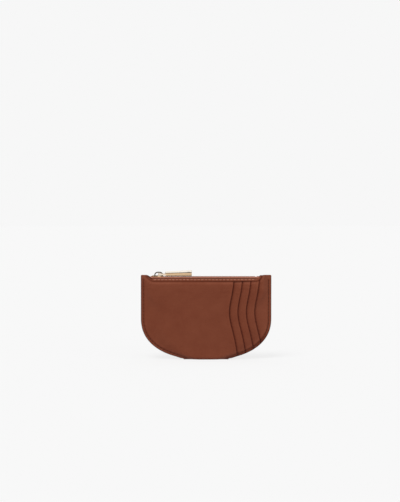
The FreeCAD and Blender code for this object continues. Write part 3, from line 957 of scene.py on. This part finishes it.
def slider_shell(solid, up, low, high):
    """One folded plate of the slider: up is 1 for the upper plate."""
    left, right = float(low[0]), float(high[0])
    top, thin = float(high[2]) - CHAIN_Z, 0.74
    rings = []
    nose = [0.0, 0.015, 0.04, 0.08, 0.13, 0.19, 0.26]
    places = np.concatenate([nose, np.linspace(0.32, 0.92, 21), [0.95, 0.98, 1.0]])
    for t in places:
        wide = plan_half(t)
        drop = 0.25 * (1 - min(1.0, t / 0.05)) + 0.2 * max(0.0, (t - 0.96) / 0.04)
        hi = top - drop
        inside = max(0.15, wide - 0.72)
        x = left + (right - left) * t
        half = [
            (0.0, hi), (wide * 0.45, hi - 0.02), (wide - 0.34, hi - 0.06), (wide - 0.10, hi - 0.18),
            (wide, hi - 0.45), (wide, 0.42), (wide - 0.08, 0.34), (inside + 0.06, 0.34),
            (inside, 0.42), (inside, top - thin - 0.1), (inside - 0.1, top - thin),
            (0.0, top - thin),
        ]
        other = [(-y, z) for y, z in half[1:-1]][::-1]
        rings.append([(x, y + ZIP_Y, CHAIN_Z + up * z) for y, z in half + other])
    n = len(rings[0])
    # painted reflections: glints on the flanks at the nose and past the middle, a middling gold on
    # the other faces
    flank = {2, 3, 4, n - 5, n - 4, n - 3}
    glint = 0.28 + (0.85 * bump(places - 0.62, 0.14) + 0.8 * bump(places - 0.04, 0.06))
    solid.loft(rings, tone=0.5, strips=lambda i, j: float(glint[i]) if j in flank else 0.75)


def slider():
    """Both plates of the slider with the post between the rows of teeth."""
    low, high = cad_box("slider_body")
    solid = Solid()
    slider_shell(solid, 1, low, high)
    slider_shell(solid, -1, low, high)
    rings = []
    for z in (-1.05, 1.05):
        ring = superellipse(12, 1.6, 0.24, 2.0)
        rings.append([(float(low[0]) + 2.4 + a, b + ZIP_Y, CHAIN_Z + z) for a, b in ring])
    return solid.loft(rings, tone=0.6).object("slider_gold", 40)


def crown():
    """Arched bridge on the slider."""
    low, high = cad_box("slider_crown")
    thick = 1.15
    half_span = float(high[0] - low[0] - thick) / 2
    middle, foot = float(low[0] + high[0]) / 2, float(low[2]) - 0.2
    tall = float(high[2]) - thick / 2 - foot
    power = 2 / 2.5
    path = []
    for a in np.linspace(0, math.pi, 31):
        c, d = math.cos(a), math.sin(a)
        reach = half_span * math.copysign(abs(c) ** power, c)
        path.append((middle - reach, foot + tall * d ** power))
    path = np.array(path)
    section = superellipse(16, 1.0, thick / 2, 3.0)
    rings = [
        [(p[0] + n[0] * b, ZIP_Y + a, p[1] + n[1] * b) for a, b in section]
        for p, n in zip(path, inward(path))
    ]
    # painted reflections: the crown is painted dark, darker still on its flanks
    flank = {0, 1, 6, 7, 8, 9, 14, 15}
    solid = Solid().loft(rings, tone=0.16, strips=lambda i, j: 0.12 if j in flank else 0.3)
    return solid.object("crown_gold", 50)


# Half section of the pull's bar at each end, from the bottom up, and the tone of each face: painted
# reflections, dark low down, a dark line under the pale cream top
BAR_ENDS = (
    [(1.35, 83.10), (1.72, 83.16), (1.88, 83.60), (1.90, 84.50), (1.90, 85.55), (1.84, 86.25),
     (1.00, 87.34), (0.82, 87.48)],
    [(1.95, 83.10), (2.30, 83.16), (2.43, 83.60), (2.44, 84.60), (2.45, 86.25), (2.37, 87.04),
     (1.22, 88.66), (1.02, 88.80)],
)
BAR_TONES = [0.36, 0.42, 0.60, 1.0, 0.15, 1.9, 1.6]
BAR_FRONT = {2, 3, 11, 12}      # its front and back faces, painted darker towards the free end
BAR_LEFT = -40.7
# The bar's ends are rounded: share of the length, and scale of the section
BAR_STATIONS = [(0.0, 0.86), (0.006, 0.95), (0.016, 1.0)]
BAR_STATIONS += [(share, 1.0) for share in np.linspace(0.1, 0.9, 6)]
BAR_STATIONS += [(0.984, 1.0), (0.994, 0.96), (1.0, 0.90)]
# Arm of the fork: distance from the pin, half height, and drop
FORK_ARM = [(-0.80, 0.10, 0), (-0.72, 0.38, 0), (-0.5, 0.64, 0), (-0.2, 0.78, 0), (0.4, 0.80, 0),
            (2.5, 0.74, 0.15), (4.4, 0.78, 0.42), (7.0, 0.86, 0.95)]
# Neck that joins the arms to the bar: distance from the pin, half width, half height, and drop
NECK = [(4.9, 1.9, 0.5, 0.0), (5.2, 2.05, 0.74, 0.1), (6.5, 2.05, 0.86, 0.5), (8.1, 1.9, 0.62, 1.2),
        (9.1, 1.7, 0.3, 1.55)]


def pull():
    """Bar pull with a fork round the crown."""
    pin_x, _, pin_z = sum(cad_box("pull_pin")).astype(float) / 2
    bar_right = float(cad_box("pull_bar")[1][0])
    solid = Solid()
    rings = []
    for share, scale in BAR_STATIONS:
        half = [(a + (c - a) * share, b + (d - b) * share) for (a, b), (c, d) in zip(*BAR_ENDS)]
        centre = (half[0][1] + half[-1][1]) / 2
        ring = [(y * scale, centre + (z - centre) * scale) for y, z in half]
        other = [(-y, z) for y, z in ring][::-1]
        x = BAR_LEFT + (bar_right - BAR_LEFT) * share
        rings.append([(x, y + ZIP_Y, z) for y, z in ring + other])
    tones = BAR_TONES + [1.2] + BAR_TONES[::-1] + [0.55]
    last = len(BAR_STATIONS) - 1

    def bar_tone(i, j):
        # painted reflections: the rounded end faces darker, the front and back faces darker towards
        # the free end
        end_shade = 0.6 if i in (0, last - 1) else 1.0
        away = 0.22 * (i / last) ** 2 if j in BAR_FRONT else 0.0
        return tones[j] * end_shade * (1.0 - away)

    solid.loft(rings, tone=0.4, strips=bar_tone)
    # painted highlights: the fork's arms and the neck are painted brighter than plain gold
    for sign in (-1, 1):
        rings = []
        for x, tall, drop in FORK_ARM:
            ring = superellipse(14, 0.40, tall, 3.5)
            rings.append([
                (pin_x + x, sign * (1.75 + a) + ZIP_Y, pin_z - drop + b) for a, b in ring
            ])
        solid.loft(rings, tone=1.5)
    rings = []
    for x, wide, tall, drop in NECK:
        ring = superellipse(20, wide, tall, 4.0)
        rings.append([(pin_x + x, a + ZIP_Y, pin_z - drop + b) for a, b in ring])
    return solid.loft(rings, tone=1.25).object("pull_gold", 30)


# Riveted head of the pin, from its end inwards: share of half the length, and scale
PIN_HEAD = [(-1, 0.35), (-0.99, 0.75), (-0.95, 1.1), (-0.92, 1.15), (-0.90, 0.98)]


def pin():
    """Riveted pin through the fork."""
    low, high = cad_box("pull_pin")
    centre, half = (low + high) / 2, (high - low) / 2
    rings = []
    for t, size in PIN_HEAD + [(-t, size) for t, size in PIN_HEAD[::-1]]:
        ring = superellipse(16, half[0] * size, half[2] * size, 2.0)
        rings.append([(centre[0] + a, centre[1] + half[1] * t, centre[2] + b) for a, b in ring])
    return Solid().loft(rings, tone=0.9).object("pin_gold", 50)


# ---------------------------------------------------------------- materials

def fill_ramp(node, stops):
    """Gives a ramp its stops, each a place and a colour."""
    elements = node.color_ramp.elements
    while len(elements) < len(stops):
        elements.new(0.5)
    for element, (place, colour) in zip(elements, stops):
        element.position = place
        element.color = (*colour, 1.0)


class Nodes:
    """A material's node tree, with short calls to add nodes and links."""

    def __init__(self, name):
        self.material = bpy.data.materials.new(name)
        self.material.use_nodes = True
        self.tree = self.material.node_tree
        self.shader = self.tree.nodes["Principled BSDF"]

    def add(self, kind, inputs=None, **settings):
        node = self.tree.nodes.new(kind)
        for key, value in settings.items():
            setattr(node, key, value)
        for key, value in (inputs or {}).items():
            self.put(node.inputs[key], value)
        return node

    def put(self, socket, value):
        if isinstance(value, bpy.types.NodeSocket):
            self.tree.links.new(value, socket)
        else:
            socket.default_value = value

    def set(self, **inputs):
        for key, value in inputs.items():
            self.put(self.shader.inputs[key.replace("_", " ")], value)

    def math(self, operation, a, b=0.0, c=0.0, clamp=False):
        node = self.add("ShaderNodeMath", {0: a, 1: b, 2: c}, operation=operation, use_clamp=clamp)
        return node.outputs[0]

    def place(self, scale):
        """Object coordinates in millimetres, stretched by scale."""
        coords = self.add("ShaderNodeTexCoord").outputs["Object"]
        size = tuple(1000.0 * s for s in scale)
        return self.add("ShaderNodeMapping", {"Vector": coords, "Scale": size}).outputs[0]

    def noise(self, size, detail, rough, scale=(1, 1, 1)):
        inputs = {"Vector": self.place(scale), "Scale": 1.0 / size, "Detail": detail,
                  "Roughness": rough}
        return self.add("ShaderNodeTexNoise", inputs).outputs["Fac"]

    def cells(self, vector, size, feature="F1"):
        inputs = {"Vector": vector, "Scale": 1.0 / size}
        return self.add("ShaderNodeTexVoronoi", inputs, feature=feature).outputs["Distance"]

    def wave(self, vector, size, direction):
        inputs = {"Vector": vector, "Scale": 0.314 / size}
        return self.add("ShaderNodeTexWave", inputs, bands_direction=direction).outputs["Fac"]

    def ramp(self, value, stops):
        node = self.add("ShaderNodeValToRGB", {"Fac": value})
        fill_ramp(node, stops)
        return node.outputs["Color"]

    def mix(self, factor, a, b, blend="MIX"):
        settings = {"data_type": "RGBA", "blend_type": blend}
        return self.add("ShaderNodeMix", {"Factor": factor, 6: a, 7: b}, **settings).outputs[2]

    def range(self, value, low, high):
        inputs = {"Value": value, "To Min": low, "To Max": high}
        return self.add("ShaderNodeMapRange", inputs).outputs[0]

    def attribute(self, name):
        settings = {"attribute_name": name, "attribute_type": "GEOMETRY"}
        return self.add("ShaderNodeAttribute", **settings).outputs["Fac"]

    def grey(self, value):
        return self.add("ShaderNodeCombineColor", {0: value, 1: value, 2: value}).outputs[0]

    def light_and_shade_tint(self, value):
        """Colour of the painted light and shade: redder where it is darker, paler where it is
        lighter.
        """
        green, blue = self.math("POWER", value, 1.6), self.math("POWER", value, 2.1)
        return self.add("ShaderNodeCombineColor", {0: value, 1: green, 2: blue}).outputs[0]

    def bump(self, height, strength, distance):
        inputs = {"Height": height, "Strength": strength, "Distance": distance * MM}
        return self.add("ShaderNodeBump", inputs).outputs["Normal"]


def scaled(colour, factor):
    return tuple(c * factor for c in colour)


def leather(name, colour, grain=1.0):
    """Fine pebbled, slightly polished leather. Reads the mesh's painted light and shade."""
    n = Nodes(name)
    place = n.place((1.0, 1.0, 1.35))
    warp = n.add("ShaderNodeTexNoise", {"Vector": place, "Scale": 0.8, "Detail": 2.0})
    bent = {"Factor": 0.28, 4: place, 5: warp.outputs["Color"]}
    lookup = n.add("ShaderNodeMix", bent, data_type="VECTOR").outputs[1]
    pebbles = n.cells(lookup, 0.62)
    creases = n.cells(lookup, 0.62, "DISTANCE_TO_EDGE")
    large = n.cells(lookup, 1.9, "DISTANCE_TO_EDGE")
    pores = n.noise(0.16, 3.0, 0.6)
    slow = n.noise(9.0, 3.0, 0.5)
    crease = n.range(creases, 0.0, 1.0)
    height = n.math("MULTIPLY_ADD", pebbles, -0.7, 1.0)
    height = n.math("ADD", height, n.math("MULTIPLY", n.math("MINIMUM", large, 0.25), 1.3))
    height = n.math("ADD", height, n.math("MULTIPLY", pores, 0.35))
    fine = n.math("MULTIPLY_ADD", n.math("MINIMUM", crease, 0.18), 1.1, 0.86)
    wide = n.math("MULTIPLY_ADD", slow, 0.16, 0.92)
    shade = n.math("MULTIPLY", n.math("MULTIPLY", fine, wide), n.attribute("shade"))
    paler = (colour[0] * 1.01, colour[1] * 1.03, colour[2] * 1.03)
    tint = n.ramp(slow, [(0.3, scaled(colour, 0.985)), (0.7, paler)])
    n.set(Base_Color=n.mix(1.0, tint, n.light_and_shade_tint(shade), "MULTIPLY"))
    n.set(Roughness=n.range(pores, 0.42, 0.62), Specular_IOR_Level=0.12)
    n.set(Normal=n.bump(height, 0.35 * grain, 0.10))
    return n.material


def edge_paint(name, colour):
    """Hand-laid edge paint, a little uneven."""
    n = Nodes(name)
    waves = n.noise(1.4, 4.0, 0.6)
    fine = n.noise(0.25, 3.0, 0.6)
    tint = n.ramp(waves, [(0.3, scaled(colour, 0.8)), (0.75, scaled(colour, 1.25))])
    n.set(Base_Color=tint, Roughness=n.range(fine, 0.34, 0.55), Specular_IOR_Level=0.25)
    n.set(Normal=n.bump(n.math("ADD", waves, n.math("MULTIPLY", fine, 0.3)), 0.3, 0.12))
    return n.material


def woven(name, colour, pitch, relief=0.5, twill=False, shaded=False):
    """Plain weave or twill. shaded reads the mesh's shade."""
    n = Nodes(name)
    place = n.place((1, 1, 1))
    warp = n.wave(place, pitch, "X")
    weft = n.wave(place, pitch * (0.6 if twill else 1.0), "DIAGONAL" if twill else "Z")
    checks = n.math("MULTIPLY", warp, weft)
    raised = n.math("MAXIMUM", warp, n.math("MULTIPLY", weft, 0.8))
    height = n.math("ADD", checks, n.math("MULTIPLY", raised, 0.6))
    fuzz = n.noise(0.22, 3.0, 0.7)
    slow = n.noise(5.0, 2.0, 0.5)
    tone = n.math("MULTIPLY_ADD", height, 0.22, 0.72)
    tone = n.math("ADD", tone, n.math("MULTIPLY_ADD", fuzz, 0.25, -0.05))
    tone = n.math("MULTIPLY", tone, n.math("MULTIPLY_ADD", slow, 0.2, 0.9))
    if shaded:
        tone = n.math("MULTIPLY", tone, n.attribute("shade"))
    tint = n.ramp(fuzz, [(0.2, scaled(colour, 0.92)), (0.8, scaled(colour, 1.08))])
    n.set(Base_Color=n.mix(1.0, tint, n.grey(tone), "MULTIPLY"))
    n.set(Roughness=n.range(fuzz, 0.75, 0.95), Specular_IOR_Level=0.2)
    n.set(Sheen_Weight=0.08, Sheen_Roughness=0.5)
    n.set(Normal=n.bump(n.math("ADD", height, n.math("MULTIPLY", fuzz, 0.5)), relief, 0.12))
    return n.material


def moulded(name, colour):
    """Satin moulded plastic with faint flow marks. Reads the mesh's tone."""
    n = Nodes(name)
    marks = n.noise(0.5, 4.0, 0.6)
    fine = n.noise(0.1, 2.0, 0.5)
    tone = n.math("MULTIPLY", n.attribute("tone"), n.math("MULTIPLY_ADD", marks, 0.35, 0.82))
    tint = n.ramp(marks, [(0.2, scaled(colour, 0.95)), (0.8, scaled(colour, 1.05))])
    n.set(Base_Color=n.mix(1.0, tint, n.grey(tone), "MULTIPLY"))
    n.set(Roughness=n.range(fine, 0.30, 0.48), Specular_IOR_Level=0.35)
    n.set(Normal=n.bump(n.math("ADD", marks, fine), 0.15, 0.05))
    return n.material


def thread(name, colour):
    """Twisted waxed thread."""
    n = Nodes(name)
    twist = n.wave(n.place((1.0, 1.0, 1.0)), 0.30, "DIAGONAL")
    fuzz = n.noise(0.12, 2.0, 0.6)
    tint = n.ramp(twist, [(0.1, scaled(colour, 0.65)), (0.8, scaled(colour, 1.2))])
    n.set(Base_Color=tint, Roughness=n.range(fuzz, 0.5, 0.7), Specular_IOR_Level=0.25)
    n.set(Normal=n.bump(n.math("ADD", twist, n.math("MULTIPLY", fuzz, 0.3)), 0.5, 0.08))
    return n.material


def gold(name, colour):
    """Pale gold plate: polished, with faint brushing and tiny marks. Reads the mesh's tone, its
    painted reflections: below 1 the gold is darkened, above 1 it turns towards a painted pale
    highlight.
    """
    n = Nodes(name)
    brushed = n.noise(0.10, 3.0, 0.6, (0.12, 1.0, 1.0))
    marks = n.noise(1.3, 4.0, 0.6)
    value = n.math("MULTIPLY", n.attribute("tone"), n.math("MULTIPLY_ADD", marks, 0.10, 0.95))
    deep = n.math("MINIMUM", value, 1.0)
    tint = n.mix(1.0, (*colour, 1.0), n.grey(deep), "MULTIPLY")
    bright = n.math("SUBTRACT", value, 1.0, clamp=True)
    n.set(Base_Color=n.mix(bright, tint, (0.97, 0.93, 0.84, 1.0)))
    n.set(Roughness=n.range(brushed, 0.14, 0.26), Metallic=1.0)
    n.set(Normal=n.bump(brushed, 0.05, 0.02))
    return n.material


# ---------------------------------------------------------------- build

LEATHER = leather("leather_grain", (0.145, 0.0360, 0.0165))
STRIP = leather("leather_binding", (0.150, 0.0370, 0.0170), 0.8)
PAINT = edge_paint("edge_paint", (0.045, 0.014, 0.009))
CLOTH = woven("lining_weave", (0.10, 0.045, 0.03), 0.42)
TAPE = woven("tape_weave", (0.40, 0.155, 0.098), 0.55, 0.6, True, True)
TEETH = moulded("teeth_plastic", (0.24, 0.080, 0.043))
THREAD = thread("waxed_thread", (0.10, 0.028, 0.014))
PALE_THREAD = thread("binding_thread", (0.40, 0.185, 0.12))
GOLD = gold("pale_gold", (0.86, 0.60, 0.36))


def dress(obj, material, slot, *nodes, body="pouch"):
    """Gives a piece its material and its body, and hides the CAD nodes that it stands for."""
    obj.data.materials.append(material)
    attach(obj, body)
    if nodes:
        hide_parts(*nodes)


def above_fold(shape):
    """The outline, kept clear of the folded base."""
    shape[:, 1] = np.maximum(shape[:, 1], INSIDE_FLOOR)
    return shape


def lining(name, shape, side, layer, node):
    """Cloth that is sewn in along its edges, for one lining node."""
    cloth = fabric(name, shape, side, layer)
    dress(cloth, CLOTH, "lining", node)


INSIDE_FLOOR = 0.95
LINING_TOP = 71.0
INSIDE = above_fold(outline(BEAD, MOUTH_DROP))
LINING_SHAPE = above_fold(outline(1.0, 0.0, top=LINING_TOP))
PULLED_IN = {2: 0.8, 3: 0.65, 4: 0.5}       # share of the binding's pull that each facing feels

dress(outer_shell(), LEATHER, "leather", "outer_shell")
backing = panel("backing_leather", INSIDE, BACKING, 31.0, 0.2, before=4)
dress(backing, LEATHER, "leather", "pocket_backing")
for number in (2, 3, 4):
    start = float(wave_x(number - 1, 47.0)) - FACING_HIDDEN
    shape = clip(INSIDE, lambda z: wave_x(number, z), True)
    shape = clip(shape, lambda z: np.full_like(z, start), False)
    facing = panel(f"slot_leather_{number}", shape, SLOT[number], 40.0 + number, PULLED_IN[number],
                   before=number - 1, own=number)
    dress(facing, LEATHER, "leather", f"slot_facing_{number}")
    cloth_shape = clip(INSIDE, lambda z: np.full_like(z, start - 0.1), True)
    lining(f"slot_cloth_{number}", cloth_shape, -1, (SLOT[number][0], FABRIC),
           f"slot_lining_{number}")

for side, word in WALLS.items():
    lining(f"lining_cloth_{word}", LINING_SHAPE, side, LINING, f"lining_{word}")
    dress(binding(side), STRIP, "leather", f"top_binding_{word}")
    dress(binding_thread(side), PALE_THREAD, "thread", f"binding_thread_{word}")
    dress(tape(side), TAPE, "zip_tape", f"zip_tape_{word}")
    dress(teeth(side), TEETH, "zip_teeth", f"zip_teeth_{word}")
    dress(stop_block(f"stop_{word}", f"top_stop_{word}"), TEETH, "zip_teeth", f"top_stop_{word}")

for sign, word in SIDES.items():
    dress(edge_bead(sign), PAINT, "leather")
    dress(tab_cap(sign), LEATHER, "leather")
    for piece in seam_thread(sign):
        dress(piece, THREAD, "thread", f"seam_thread_{word}")

dress(stop_block("end_stop", "bottom_stop"), TEETH, "zip_teeth", "bottom_stop")
dress(slider(), GOLD, "gold", "slider_body", body="slider")
dress(crown(), GOLD, "gold", "slider_crown", body="slider")
dress(pull(), GOLD, "gold", "pull_bar", body="pull")
dress(pin(), GOLD, "gold", "pull_pin", body="pull")


# ---------------------------------------------------------------- floor, light and camera

WHITE = 0.93


def floor():
    """Pale, softly lit sweep: it gives light of its own, so shadows on it stay faint."""
    mesh = bpy.data.meshes.new("floor")
    size = 6.0
    corners = [(-size, -size, 0), (size, -size, 0), (size, size, 0), (-size, size, 0)]
    mesh.from_pydata(corners, [], [(0, 1, 2, 3)])
    obj = put_in_scene("floor", mesh)
    n = Nodes("floor_sweep")
    glow = n.add("ShaderNodeEmission", {"Color": (WHITE, WHITE, WHITE, 1.0), "Strength": 1.06})
    matt = n.add("ShaderNodeBsdfDiffuse", {"Color": (0.62, 0.62, 0.62, 1.0)})
    blend = n.add("ShaderNodeMixShader", {"Fac": 0.22, 1: glow.outputs[0], 2: matt.outputs[0]})
    output = n.tree.nodes["Material Output"]
    n.tree.links.new(blend.outputs[0], output.inputs["Surface"])
    n.tree.nodes.remove(n.shader)
    mesh.materials.append(n.material)


def surroundings():
    """White near the horizon, dimmer higher up, bright overhead."""
    world = bpy.data.worlds.new("studio")
    bpy.context.scene.world = world
    world.use_nodes = True
    tree = world.node_tree
    coords = tree.nodes.new("ShaderNodeTexCoord")
    split = tree.nodes.new("ShaderNodeSeparateXYZ")
    ramp = tree.nodes.new("ShaderNodeValToRGB")
    back = tree.nodes["Background"]
    tree.links.new(coords.outputs["Generated"], split.inputs[0])
    tree.links.new(split.outputs["Z"], ramp.inputs["Fac"])
    tree.links.new(ramp.outputs["Color"], back.inputs["Color"])
    stops = [(0.0, WHITE), (0.20, WHITE), (0.34, 0.42), (0.70, 0.50), (0.90, 1.0)]
    fill_ramp(ramp, [(place, (value,) * 3) for place, value in stops])
    back.inputs["Strength"].default_value = 1.0


def sun(name, direction, strength, angle, glossy):
    """Broad soft light. A light that isn't glossy isn't reflected in the gold."""
    data = bpy.data.lights.new(name, "SUN")
    data.energy = strength
    data.angle = math.radians(angle)
    obj = put_in_scene(name, data)
    obj.rotation_mode = "QUATERNION"
    obj.rotation_quaternion = Vector(direction).to_track_quat("-Z", "Y")
    obj.visible_glossy = glossy


def camera():
    """Long lens from the front and a little above; the pouch stands low in the frame."""
    data = bpy.data.cameras.new("camera")
    data.lens = 100.0
    data.sensor_width = 36.0
    obj = put_in_scene("camera", data)
    distance, rise, headroom = 1.392, math.radians(5.0), 0.0659
    aim = Vector((-0.0061, ZIP_Y * MM, 0.0421))
    back = Vector((0.0, -math.cos(rise), math.sin(rise)))
    obj.location = aim + back * distance
    down = rise - math.atan(headroom / distance)
    obj.rotation_mode = "QUATERNION"
    look = Vector((0.0, math.cos(down), -math.sin(down)))
    obj.rotation_quaternion = look.to_track_quat("-Z", "Y")
    bpy.context.scene.camera = obj


floor()
surroundings()
sun("key", (0.25, 0.55, -0.85), 1.9, 25, False)
sun("fill", (-0.5, 0.6, -0.45), 0.35, 60, True)
camera()
bpy.context.scene.view_settings.view_transform = "Standard"
